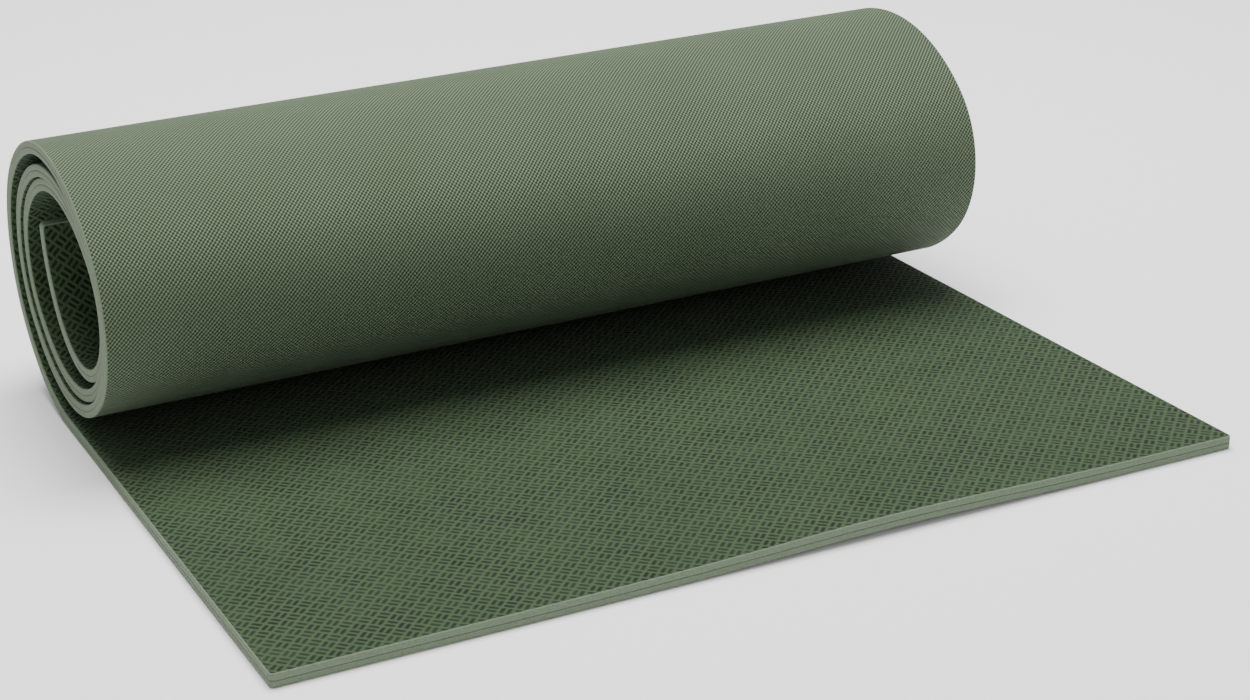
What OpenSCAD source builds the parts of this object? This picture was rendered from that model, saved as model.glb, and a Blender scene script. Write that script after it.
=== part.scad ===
// Closed-cell foam sleeping pad, partly unrolled.
//
// Two foam plies are bonded face to face over their whole area. The front of
// the pad lies flat, and the rest is rolled up behind it in three loose wraps.
// The outermost wrap is made of narrow bands, each with its piece of both
// plies. A band bends against the band before it about a living hinge in the
// bond line, so this wrap can be laid flat. The wraps inside it stay rolled.
//
// +X runs along the roll, +Y runs back from the free front edge towards the
// roll, and +Z is up. The origin is on the floor, under the middle of the box
// around the pad as it lies here.

/* [Sheet] */
// Width of the pad, along the roll
pad_w = 600; // [450:10:650]
// Thickness of the upper ply, whose face is embossed
upper_t = 4; // [3:0.25:4]
// Thickness of the lower ply, whose face is finely hatched
lower_t = 4; // [3:0.25:4]
// Thickness of the adhesive line between the plies
bond_t = 0.1; // [0.05:0.05:0.3]
// Length that lies flat, from the front edge to the start of the roll
flat_l = 370; // [300:5:500]

/* [Roll] */
// Bending radii from the outside of the roll inwards. The first is the half
// arc that leaves the floor and the last is the free end. Between them the
// back, top, front and floor arcs take turns.
roll_r = [119, 75, 115, 66, 109, 58, 104, 53.5, 99.5, 49, 95, 44.5, 62, 80]; // [40:0.5:140]
// Number of bands in the outermost wrap
bands = 14; // [10:1:14]
// Length of one band
band_l = 41; // [38:1:44]
// Angle by which the axis of the roll is out of square with the pad
skew = 0.25; // [0:0.05:1]

/* [Hinges] */
// Gap between neighbouring bands
band_gap = 0.1; // [0.05:0.05:0.3]
// Spare angle of the grooves in which the lower ply closes up
groove_play = 0.5; // [0.2:0.1:2]

/* [Hidden] */
foam_green = [0.36, 0.43, 0.31];
// Turns of the arcs, in degrees: the first and last are half as long
half_turn = 45;
full_turn = 90;
// Straight steps that follow the bends of one band and of the inner roll
band_steps = 8;
inner_steps = 160;
sheet_t = lower_t + bond_t + upper_t;
bond_z = lower_t + bond_t / 2;
// Lower and upper faces of the plies, as heights above the bond line
lower_faces = [-bond_z, -bond_t / 2];
upper_faces = [bond_t / 2, bond_t / 2 + upper_t];

// Arcs of the rolled length: the tangent angle at which each one starts, and
// the length of the roll before it.
last_arc = len(roll_r) - 1;
function arc_turn(k) = k == 0 || k == last_arc ? half_turn : full_turn;
function arc_start(k) = k == 0 ? 0 : arc_start(k - 1) + arc_turn(k - 1);
function arc_length(k) = roll_r[k] * arc_turn(k) * PI / 180;
function length_before(k) = k == 0 ? 0 : length_before(k - 1) + arc_length(k - 1);
arc_starts = [for (k = [0:last_arc]) arc_start(k)];
arc_befores = [for (k = [0:last_arc]) length_before(k)];
roll_l = length_before(last_arc) + arc_length(last_arc);

// Step along a bend of radius r from tangent angle a to tangent angle b
function chord(r, a, b) = r * [sin(b) - sin(a), cos(a) - cos(b)];
function arc_corner(k) = k == 0 ? [flat_l, bond_z]
    : arc_corner(k - 1) + chord(roll_r[k - 1], arc_starts[k - 1], arc_starts[k]);
arc_corners = [for (k = [0:last_arc]) arc_corner(k)];

// Tangent angle and place of the bond line at a length s along the roll
function arc_at(s, k = 0) = k == last_arc || s < arc_befores[k + 1] ? k : arc_at(s, k + 1);
function angle_on(s, k) = arc_starts[k] + (s - arc_befores[k]) / roll_r[k] * 180 / PI;
function angle_at(s) = angle_on(s, arc_at(s));
function place_on(s, k) = arc_corners[k] + chord(roll_r[k], arc_starts[k], angle_on(s, k));
function place_at(s) = place_on(s, arc_at(s));
function off_bond(s, h) = place_at(s) + h * [-sin(angle_at(s)), cos(angle_at(s))];

// Hinge i lies in the bond line at the start of band i, and the last hinge
// carries the inner roll. The first one is half a band up the roll, so that
// each hinge straightens the bend of one band.
function hinge_s(i) = (i + 0.5) * band_l;
function hinge_bend(i) = angle_at((i + 1) * band_l) - (i == 0 ? 0 : angle_at(i * band_l));

// Tangential set-back of an end face at height h: half the gap, and below the
// bond line the flank of a groove too
function set_back(i, h) = band_gap / 2 + max(0, -h) * tan((hinge_bend(i) + groove_play) / 2);

// One face of a piece between lengths s0 and s1, and a whole outline
function face(s0, s1, h, steps) = [for (j = [0:steps]) off_bond(s0 + (s1 - s0) * j / steps, h)];
function reversed(points) = [for (j = [len(points) - 1:-1:0]) points[j]];
function band_face(i, h) =
    face(hinge_s(i) + set_back(i, h), hinge_s(i + 1) - set_back(i + 1, h), h, band_steps);
function inner_face(h) = face(hinge_s(bands) + set_back(bands, h), roll_l, h, inner_steps);
function front_face(h) =
    concat([[-flat_l, bond_z + h]], face(0, hinge_s(0) - set_back(0, h), h, band_steps));
function outline(low_face, high_face) = concat(low_face, reversed(high_face));

// The edges of a skewed roll creep sideways along its axis.
axial_w = pad_w / cos(skew);
function creep(s) = (flat_l + s) * tan(skew);
inner_creep = creep((hinge_s(bands) + roll_l) / 2);

// Box around the pad, for the origin
inner_front_y = min([for (p = inner_face(-bond_z)) p.x]);
box_right = (inner_creep + axial_w / 2) * cos(skew) - inner_front_y * sin(skew);
box_back = max([for (i = [0:bands - 1], p = band_face(i, -bond_z))
    (creep((i + 1) * band_l) + axial_w / 2) * sin(skew) + p.x * cos(skew)]);
box_middle = [(box_right - pad_w / 2) / 2, box_back / 2, 0];

function two_digits(i) = str(i < 9 ? "0" : "", i + 1);
function upper_name(i) = str("upper_ply_band_", two_digits(i));
function lower_name(i) = str("lower_ply_band_", two_digits(i));

// Extrudes a profile drawn in the plane of the bend along the roll's axis,
// evenly to both sides of a middle that has crept sideways
module along_roll(middle, length) {
    color(foam_green)
        translate(-box_middle)
            rotate([0, 0, skew])
                translate([middle - length / 2, 0, 0])
                    rotate([90, 0, 90])
                        linear_extrude(height = length)
                            children();
}

// A ply of the flat front, cut square at its front edge and its sides
module front_ply(faces) {
    intersection() {
        along_roll(0, 2 * pad_w)
            polygon(outline(front_face(faces[0]), front_face(faces[1])));
        color(foam_green)
            translate([-pad_w / 2, 0, -sheet_t] - box_middle)
                cube([pad_w, 2 * flat_l, 4 * sheet_t]);
    }
}

// A ply of one band of the outermost wrap
module band_ply(i, faces) {
    along_roll(creep((i + 1) * band_l), axial_w)
        polygon(outline(band_face(i, faces[0]), band_face(i, faces[1])));
}

// A ply of the inner wraps, which end in the hollow core
module inner_ply(faces) {
    along_roll(inner_creep, axial_w)
        polygon(outline(inner_face(faces[0]), inner_face(faces[1])));
}

module upper_ply_front() front_ply(upper_faces);
module lower_ply_front() front_ply(lower_faces);
module upper_ply_inner_roll() inner_ply(upper_faces);
module lower_ply_inner_roll() inner_ply(lower_faces);

upper_ply_front();
lower_ply_front();
for (i = [0:bands - 1]) {
    band_ply(i, upper_faces);
    band_ply(i, lower_faces);
}
upper_ply_inner_roll();
lower_ply_inner_roll();
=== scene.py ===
# %% [markdown]
# # A foam sleeping pad, half unrolled
# The pad is one long sheet of closed-cell foam, made of two plies bonded face
# to face. It lies flat at the front and is rolled up behind. This script
# models the sheet first as a plain block of foam, cuts it into short lengths,
# and then rolls each length up. The flat front and the inner roll ride on the
# bodies that carry them.

import math

import bmesh
import bpy
from mathutils import Matrix, Vector


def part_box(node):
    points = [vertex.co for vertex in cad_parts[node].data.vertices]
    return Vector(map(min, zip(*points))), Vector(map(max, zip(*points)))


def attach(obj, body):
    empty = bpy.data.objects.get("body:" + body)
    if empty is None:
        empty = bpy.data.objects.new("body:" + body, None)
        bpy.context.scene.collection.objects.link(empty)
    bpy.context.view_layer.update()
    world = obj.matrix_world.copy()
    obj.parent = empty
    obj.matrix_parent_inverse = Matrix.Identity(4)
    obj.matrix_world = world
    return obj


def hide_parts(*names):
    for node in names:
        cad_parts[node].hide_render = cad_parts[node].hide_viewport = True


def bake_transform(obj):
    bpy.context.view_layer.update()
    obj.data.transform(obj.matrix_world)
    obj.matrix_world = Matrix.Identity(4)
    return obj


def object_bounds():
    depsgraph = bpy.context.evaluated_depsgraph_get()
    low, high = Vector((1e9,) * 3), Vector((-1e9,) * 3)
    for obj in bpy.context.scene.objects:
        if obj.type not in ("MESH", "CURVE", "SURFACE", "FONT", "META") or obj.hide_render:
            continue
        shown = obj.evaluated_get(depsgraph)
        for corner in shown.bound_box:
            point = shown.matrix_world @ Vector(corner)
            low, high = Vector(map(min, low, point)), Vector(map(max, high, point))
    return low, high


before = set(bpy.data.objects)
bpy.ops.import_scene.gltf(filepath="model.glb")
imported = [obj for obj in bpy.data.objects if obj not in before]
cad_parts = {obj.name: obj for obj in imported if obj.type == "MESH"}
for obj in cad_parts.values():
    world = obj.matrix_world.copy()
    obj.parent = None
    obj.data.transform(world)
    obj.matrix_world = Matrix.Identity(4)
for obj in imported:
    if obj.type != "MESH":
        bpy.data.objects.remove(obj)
cad_low, cad_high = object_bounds()
print("assembly box", [round(v, 4) for v in (*cad_low, *cad_high)])

# %% [markdown]
# ## The shape of the roll
# A rolled mat isn't a perfect spiral: it sags under its own weight, so its
# tops and bottoms are flatter than its sides. A list of bending radii draws
# it well, a quarter turn to each arc. The same list, widths and lengths are
# used for the assembly itself, so the two shapes agree.

# %% Sizes of the sheet, in metres
pad_width = 0.600
ply_thickness = 0.004
bond_line = 0.0001
flat_length = 0.370
roll_radii = [119, 75, 115, 66, 109, 58, 104, 53.5, 99.5, 49, 95, 44.5, 62, 80]
roll_radii = [radius / 1000 for radius in roll_radii]
quarter = math.pi / 2
arc_turns = [quarter / 2] + [quarter] * (len(roll_radii) - 2) + [quarter / 2]
rolled_length = sum(radius * turn for radius, turn in zip(roll_radii, arc_turns))
band_length = 0.041
bands = len([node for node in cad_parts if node.startswith("upper_ply_band")])
skew = math.radians(0.25)
print(f"{bands} bands, sheet {flat_length + rolled_length:.3f} m long")


# %% Where the bond line runs
def chord(radius, start, end):
    """The step along a bend between two tangent angles."""
    across = math.sin(end) - math.sin(start)
    return Vector((radius * across, radius * (math.cos(start) - math.cos(end))))


def bond_at(length):
    """Place and tangent angle of the bond line, a length along the roll."""
    place = Vector((flat_length, ply_thickness + bond_line / 2))
    angle = 0.0
    if length <= 0:
        return place + Vector((length, 0)), 0.0
    for radius, turn in zip(roll_radii, arc_turns):
        step = min(length, radius * turn)
        place = place + chord(radius, angle, angle + step / radius)
        angle += step / radius
        length -= step
        if length <= 1e-9:
            break
    return place, angle


end_place, end_angle = bond_at(rolled_length)
print(f"the inner end turns {math.degrees(end_angle):.0f} degrees")

# %% [markdown]
# ## From the flat sheet to the rolled one
# A point of the sheet is known by its distance across, its distance back and
# its height over the bond line. Rolling keeps all three and bends the sheet
# under them. The roll is a quarter of a degree out of square, so each wrap
# creeps sideways a little, as it does when a mat is rolled by hand.


# %% Rolling one point
def rolled(across, back, height):
    """The place in the room of a point of the sheet. Back is measured square to the roll."""
    place, angle = bond_at(back - flat_length)
    run = place.x - height * math.sin(angle)
    rise = place.y + height * math.cos(angle)
    along = (across + back * math.sin(skew)) / math.cos(skew)
    x = along * math.cos(skew) - run * math.sin(skew)
    y = along * math.sin(skew) + run * math.cos(skew)
    return Vector((x, y, rise))


front_low, front_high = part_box("lower_ply_front")
corner = Vector((-pad_width / 2, 0, 0))
room_shift = front_low - corner
print("the sheet moves by", [round(v, 4) for v in room_shift])

# %% [markdown]
# ## Camera and light
# The pad lies on a plain pale floor under a big soft lamp, a little behind its
# middle, so that the top of the roll is bright and its front falls into shade. The
# camera stands in front of the left-hand corner and looks along the open end
# of the roll. It comes first, so that every later step can be looked at.

# %% Camera
camera_place = Vector((-0.636, -1.053, 0.616)) + Vector((0, front_low.y, 0))
around, above, tilt = map(math.radians, (-24.17, 22.10, -2.10))
level_reach = math.cos(above)
back = Vector((math.sin(around) * level_reach, -math.cos(around) * level_reach, math.sin(above)))
level = Vector((0, 0, 1)).cross(back).normalized()
upright = back.cross(level)
right = level * math.cos(tilt) + upright * math.sin(tilt)
up = back.cross(right)
camera = bpy.data.objects.new("camera", bpy.data.cameras.new("camera"))
bpy.context.collection.objects.link(camera)
camera.matrix_world = Matrix(((right.x, up.x, back.x, camera_place.x),
                              (right.y, up.y, back.y, camera_place.y),
                              (right.z, up.z, back.z, camera_place.z),
                              (0, 0, 0, 1)))
camera.data.lens = 72.2
camera.data.shift_x = 0.089
camera.data.shift_y = 0.0106
bpy.context.scene.camera = camera
print("camera at", [round(v, 3) for v in camera_place])


# %% Soft lamps
def soft_lamp(name, place, aim, size, power):
    lamp = bpy.data.lights.new(name, "AREA")
    lamp.shape = "DISK"
    lamp.size = size
    lamp.energy = power
    holder = bpy.data.objects.new(name, lamp)
    bpy.context.collection.objects.link(holder)
    holder.location = place
    holder.rotation_euler = (Vector(aim) - Vector(place)).to_track_quat("-Z", "Y").to_euler()
    return holder


soft_lamp("overhead", (0.2, 0.5, 2.6), (0, 0.1, 0), 2.2, 140)
soft_lamp("front_fill", (-0.9, -2.3, 0.9), (0, 0, 0.05), 1.4, 12)
studio = bpy.data.worlds.new("studio")
studio.use_nodes = True
studio.node_tree.nodes["Background"].inputs["Color"].default_value = (1, 1, 1, 1)
studio.node_tree.nodes["Background"].inputs["Strength"].default_value = 0.52
bpy.context.scene.world = studio

# %% [markdown]
# ## The floor
# A sheet of pale studio paper. It is far bigger than the picture, so no edge
# of it shows.

# %% Floor
sweep = bmesh.new()
bmesh.ops.create_grid(sweep, x_segments=1, y_segments=1, size=6)
bmesh.ops.translate(sweep, verts=sweep.verts, vec=(0, 0, cad_low.z - 0.0002))
floor_mesh = bpy.data.meshes.new("floor")
sweep.to_mesh(floor_mesh)
sweep.free()
floor = bpy.data.objects.new("floor", floor_mesh)
bpy.context.collection.objects.link(floor)
paper = bpy.data.materials.new("studio_paper")
paper.use_nodes = True
paper_shader = paper.node_tree.nodes["Principled BSDF"]
paper_shader.inputs["Base Color"].default_value = (0.98, 0.98, 0.98, 1)
paper_shader.inputs["Roughness"].default_value = 0.9
floor_mesh.materials.append(paper)
print("floor at", round(cad_low.z, 4))

# %% [markdown]
# ## Foam
# Closed-cell foam is matt, with a faint bloom where the light grazes it. The
# upper face is pressed with a basket weave: little squares that stand on
# their corners, each with two short grooves, and the grooves of each square
# run across those of its neighbours. The lower face has a fine diagonal
# knurl. Both are pressed by rollers, so they follow the sheet and not the
# room: they are drawn on a map that holds each point's place on the flat
# sheet, in metres.

# %% Node helpers
weave_cell = 0.00743
knurl_pitch = 0.0019
sheet_map = "sheet"


def foam_finish(name, roughness):
    """A new material with its shader and nodes."""
    finish = bpy.data.materials.new(name)
    finish.use_nodes = True
    shader = finish.node_tree.nodes["Principled BSDF"]
    shader.inputs["Roughness"].default_value = roughness
    shader.inputs["Specular IOR Level"].default_value = 0.18
    shader.inputs["Sheen Weight"].default_value = 0.03
    shader.inputs["Sheen Roughness"].default_value = 0.6
    return finish, finish.node_tree, shader


def sums(tree, operation, first, second=None, third=None):
    """One Math node. Numbers go on its sockets and node outputs are linked."""
    node = tree.nodes.new("ShaderNodeMath")
    node.operation = operation
    for socket, value in zip(node.inputs, (first, second, third)):
        if value is None:
            continue
        if isinstance(value, (int, float)):
            socket.default_value = value
        else:
            tree.links.new(value, socket)
    return node.outputs[0]


def diagonal_place(tree, pitch):
    """The place on the sheet along its two diagonals, counted in pitches."""
    place = tree.nodes.new("ShaderNodeUVMap")
    place.uv_map = sheet_map
    turned = tree.nodes.new("ShaderNodeMapping")
    turned.inputs["Rotation"].default_value = (0, 0, math.radians(45))
    turned.inputs["Scale"].default_value = (1 / pitch, 1 / pitch, 1)
    split = tree.nodes.new("ShaderNodeSeparateXYZ")
    tree.links.new(place.outputs["UV"], turned.inputs["Vector"])
    tree.links.new(turned.outputs["Vector"], split.inputs["Vector"])
    return split.outputs["X"], split.outputs["Y"]


def mottle(tree, scale, detail=3.0):
    """Soft noise over the object, for uneven colour."""
    place = tree.nodes.new("ShaderNodeTexCoord")
    noise = tree.nodes.new("ShaderNodeTexNoise")
    noise.inputs["Scale"].default_value = scale
    noise.inputs["Detail"].default_value = detail
    tree.links.new(place.outputs["Object"], noise.inputs["Vector"])
    return noise.outputs["Fac"]


def ramp(tree, value, *stops):
    """A colour ramp through (position, colour) stops."""
    node = tree.nodes.new("ShaderNodeValToRGB")
    elements = node.color_ramp.elements
    while len(elements) < len(stops):
        elements.new(0.5)
    for element, (position, colour) in zip(elements, stops):
        element.position = position
        element.color = (*colour, 1)
    tree.links.new(value, node.inputs["Fac"])
    return node.outputs["Color"]


def paint_shade(tree, colour, amount, shade):
    """Multiplies a colour by a darker colour, by the given amount, to paint shade."""
    mix = tree.nodes.new("ShaderNodeMix")
    mix.data_type = "RGBA"
    mix.blend_type = "MULTIPLY"
    tree.links.new(amount, mix.inputs["Factor"])
    tree.links.new(colour, mix.inputs[6])
    mix.inputs[7].default_value = (*shade, 1)
    return mix.outputs[2]


def press(tree, shader, height, depth):
    """Bumps the surface by a height of 0 to 1 times a depth in metres."""
    bump = tree.nodes.new("ShaderNodeBump")
    bump.inputs["Strength"].default_value = 1.0
    bump.inputs["Distance"].default_value = depth
    tree.links.new(height, bump.inputs["Height"])
    tree.links.new(bump.outputs["Normal"], shader.inputs["Normal"])


print("weave cell", weave_cell, "knurl", knurl_pitch)

# %% [markdown]
# ### The embossed upper face
# The weave is a chequerboard laid on the diagonals. The parity of a square
# says which way its two grooves run. A cosine gives the two grooves their
# round section, and a pair of smooth ramps closes their ends. The grooves are
# also darkened in colour: that is painted shade in the recesses.

# %% Embossed face
embossed_foam, tree, shader = foam_finish("embossed_foam", 0.72)
first, second = diagonal_place(tree, weave_cell)
square = sums(tree, "ADD", sums(tree, "FLOOR", first), sums(tree, "FLOOR", second))
parity = sums(tree, "FLOORED_MODULO", square, 2.0)
first_part, second_part = sums(tree, "FRACT", first), sums(tree, "FRACT", second)
swap = sums(tree, "SUBTRACT", 1.0, parity)
across = sums(tree, "MULTIPLY_ADD", second_part, swap, sums(tree, "MULTIPLY", first_part, parity))
along = sums(tree, "MULTIPLY_ADD", first_part, swap, sums(tree, "MULTIPLY", second_part, parity))
wave = sums(tree, "COSINE", sums(tree, "MULTIPLY", across, 4 * math.pi))
grooves = sums(tree, "MULTIPLY_ADD", wave, -0.5, 0.5)
from_middle = sums(tree, "ABSOLUTE", sums(tree, "SUBTRACT", along, 0.5))
closed = tree.nodes.new("ShaderNodeMapRange")
closed.interpolation_type = "SMOOTHSTEP"
closed.inputs["From Min"].default_value = 0.48
closed.inputs["From Max"].default_value = 0.26
tree.links.new(from_middle, closed.inputs["Value"])
pressed = sums(tree, "MULTIPLY", grooves, closed.outputs["Result"])
uneven = sums(tree, "MULTIPLY_ADD", mottle(tree, 60), 0.9, 0.45)
groove_and_shade = sums(tree, "MULTIPLY", pressed, uneven)
green = ramp(tree, mottle(tree, 9), (0.3, (0.034, 0.064, 0.026)), (0.7, (0.042, 0.073, 0.031)))
# Painted shade: the grooves are darkened in colour as well as pressed in by the bump.
colour = paint_shade(tree, green, groove_and_shade, (0.05, 0.08, 0.05))
tree.links.new(colour, shader.inputs["Base Color"])
press(tree, shader, sums(tree, "SUBTRACT", 1.0, groove_and_shade), 0.0007)
print("embossed foam uses", len(tree.nodes), "nodes")

# %% [markdown]
# ### The knurled lower face
# Two sets of fine ridges cross at right angles, on the sheet's diagonals. One
# set is pressed deeper than the other. The valleys between the ridges are
# darkened in colour: that is painted shade.

# %% Knurled face
knurled_foam, tree, shader = foam_finish("knurled_foam", 0.66)
first, second = diagonal_place(tree, knurl_pitch)
ridge = sums(tree, "COSINE", sums(tree, "MULTIPLY", first, 2 * math.pi))
cross_ridge = sums(tree, "COSINE", sums(tree, "MULTIPLY", second, 2 * math.pi))
ridges = sums(tree, "MULTIPLY_ADD", ridge, 0.17, sums(tree, "MULTIPLY_ADD", cross_ridge, 0.33, 0.5))
valley_shade = sums(tree, "SUBTRACT", 1.0, ridges)
green = ramp(tree, mottle(tree, 14), (0.3, (0.160, 0.226, 0.128)), (0.7, (0.178, 0.246, 0.144)))
# Painted shade: the valleys of the knurl are darkened in colour.
colour = paint_shade(tree, green, valley_shade, (0.01, 0.03, 0.01))
tree.links.new(colour, shader.inputs["Base Color"])
press(tree, shader, ridges, 0.0009)
print("knurled foam uses", len(tree.nodes), "nodes")

# %% [markdown]
# ### Cut edges
# A blade opens the cells, so cut foam is paler than the pressed faces and a
# little grainy.

# %% Cut foam
cut_foam, tree, shader = foam_finish("cut_foam", 0.85)
grain = mottle(tree, 900, 2.0)
pale = ramp(tree, grain, (0.25, (0.110, 0.146, 0.094)), (0.75, (0.160, 0.198, 0.140)))
tree.links.new(pale, shader.inputs["Base Color"])
press(tree, shader, grain, 0.00025)
foam_finishes = (embossed_foam, knurled_foam, cut_foam)
print("finishes", [finish.name for finish in foam_finishes])

# %% [markdown]
# ## One length of foam
# Each length starts as two flat blocks, one for each ply, with the bond line
# between them. The long edges are rounded as a blade leaves them, and the
# block is cut across into narrow steps, so that it can bend. Extra cuts close
# to the ends keep the shading even where one length meets the next.

# %% Blocks for the two plies
upper_low, upper_high = bond_line / 2, bond_line / 2 + ply_thickness
near = 1e-6


def at(value, target):
    return abs(value - target) < near


def foam_blocks(start, stop):
    """Two flat blocks between two distances back, as a bmesh."""
    blocks = bmesh.new()
    for low, high in ((upper_low, upper_high), (-upper_high, -upper_low)):
        block = bmesh.ops.create_cube(blocks, size=1)["verts"]
        bmesh.ops.scale(blocks, verts=block, vec=(pad_width, stop - start, high - low))
        bmesh.ops.translate(blocks, verts=block, vec=(0, (start + stop) / 2, (low + high) / 2))
    return blocks


def round_edges(blocks, edges, offset, segments):
    bmesh.ops.bevel(blocks, geom=edges, offset=offset, offset_type="OFFSET", segments=segments,
                    profile=0.5, affect="EDGES", material=-1)


def round_block(blocks, seams):
    """Rounds the corners and cut edges. Seams are the ends that join another length."""
    def on_seam(edge):
        return any(all(at(v.co.y, seam) for v in edge.verts) for seam in seams)

    def height(edge):
        heights = [v.co.z for v in edge.verts]
        return heights[0] if at(*heights) else None

    corners = [e for e in blocks.edges if height(e) is None and not on_seam(e)]
    if corners:
        round_edges(blocks, corners, 0.003, 4)
    outside = [e for e in blocks.edges
               if height(e) is not None and at(abs(height(e)), upper_high) and not on_seam(e)]
    round_edges(blocks, outside, 0.0009, 3)
    inside = [e for e in blocks.edges
              if height(e) is not None and at(abs(height(e)), upper_low) and not on_seam(e)]
    round_edges(blocks, inside, 0.0004, 2)


def cut_across(blocks, places, direction):
    """Cuts the blocks right through at each place."""
    for place in places:
        whole = blocks.verts[:] + blocks.edges[:] + blocks.faces[:]
        bmesh.ops.bisect_plane(blocks, geom=whole, dist=1e-7,
                               plane_co=Vector(direction) * place, plane_no=direction)


def steps(start, stop, step):
    count = max(1, round((stop - start) / step))
    return [start + (stop - start) * i / count for i in range(count + 1)]


trial = foam_blocks(0, band_length)
round_block(trial, (0, band_length))
print("a rounded length has", len(trial.faces), "faces")
trial.free()

# %% [markdown]
# ## Faces, map and rolling
# While the length is still flat, each face learns its finish and its place on
# the sheet. Then every point is rolled up. The front lifts a few millimetres
# off the floor in one place, as a mat that has been stored rolled does.


# %% Finishes and the sheet's map
def mark_faces(blocks):
    """Gives each face its finish, and each corner its place on the flat sheet."""
    place = blocks.loops.layers.uv.new(sheet_map)
    blocks.normal_update()
    for face in blocks.faces:
        face.smooth = True
        height = face.calc_center_median().z
        face.material_index = 2
        if at(height, upper_high):
            face.material_index = 0
        elif at(height, -upper_high):
            face.material_index = 1
        for loop in face.loops:
            point = loop.vert.co
            if abs(face.normal.x) > 0.5:
                loop[place].uv = (point.z, point.y)
            elif abs(face.normal.y) > 0.5:
                loop[place].uv = (point.x, point.z)
            else:
                loop[place].uv = (point.x, point.y)


# %% Rolling a length up
def front_lift(point):
    """How far the loose front edge stands off the floor."""
    sideways = math.exp(-(((point.x - 0.07) / 0.10) ** 2))
    return 0.0032 * sideways * math.exp(-((point.y / 0.075) ** 2))


def roll_up(blocks):
    for vert in blocks.verts:
        point = vert.co.copy()
        lift = front_lift(point) if point.y < flat_length else 0.0
        squared = point.y
        if point.y < flat_length:
            squared -= point.x * math.sin(skew) * (1 - point.y / flat_length)
        vert.co = rolled(point.x, squared, point.z) + room_shift + Vector((0, 0, lift))


def foam_length(name, start, stop, step, cut_ends=(), side_cuts=()):
    """A finished length of foam as an object."""
    seams = [end for end in (start, stop) if end not in cut_ends]
    blocks = foam_blocks(start, stop)
    round_block(blocks, seams)
    places = steps(start, stop, step)[1:-1]
    places += [start + 0.0003] if start in seams else [start + 0.004]
    places += [stop - 0.0003] if stop in seams else [stop - 0.004]
    cut_across(blocks, places, (0, 1, 0))
    cut_across(blocks, (-pad_width / 2 + 0.003, pad_width / 2 - 0.003, *side_cuts), (1, 0, 0))
    for edge in blocks.edges:
        edge.smooth = not any(all(at(v.co.y, seam) for v in edge.verts) for seam in seams)
    mark_faces(blocks)
    roll_up(blocks)
    mesh = bpy.data.meshes.new(name)
    blocks.to_mesh(mesh)
    blocks.free()
    for finish in foam_finishes:
        mesh.materials.append(finish)
    piece = bpy.data.objects.new(name, mesh)
    bpy.context.collection.objects.link(piece)
    return piece


print("rolling is ready")

# %% [markdown]
# ## The flat front
# It runs from the loose edge to the start of the roll. Cuts along its length
# let the front edge lift.

# %% Front
side_cuts = steps(-0.28, 0.28, 0.02)
front = foam_length("foam_front", 0, flat_length, 0.012, cut_ends=(0,), side_cuts=side_cuts)
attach(front, "front")
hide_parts("upper_ply_front", "lower_ply_front")
print("front", len(front.data.polygons), "faces")

# %% [markdown]
# ## The outermost wrap
# A length reaches from the middle of one band to the middle of the next, so
# the hinge between them lies at its middle.


# %% Bands
def bend_between(piece, number):
    """Bakes a length's placement into its mesh."""
    start = flat_length + number * band_length
    ends = [rolled(0, back, 0) + room_shift for back in (start, start + band_length)]
    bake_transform(piece)


for number in range(bands + 1):
    start = flat_length + number * band_length
    part = "foam_roll_start" if number == bands else f"foam_band_{number + 1:02d}"
    piece = foam_length(part, start, start + band_length, 0.0022)
    bend_between(piece, number)
    band = min(number + 1, bands)
    if number < bands:
        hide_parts(f"upper_ply_band_{band:02d}", f"lower_ply_band_{band:02d}")
print(bands + 1, "lengths in the outer wrap")

# %% [markdown]
# ## The wraps inside
# The rest of the sheet stays rolled, and its free end stands in the hollow.

# %% Inner roll
inner_start = flat_length + (bands + 1) * band_length
inner = foam_length("foam_inner_roll", inner_start, flat_length + rolled_length, 0.005,
                    cut_ends=(flat_length + rolled_length,))
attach(inner, "inner_roll")
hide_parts("upper_ply_inner_roll", "lower_ply_inner_roll")
print("inner roll", len(inner.data.polygons), "faces")
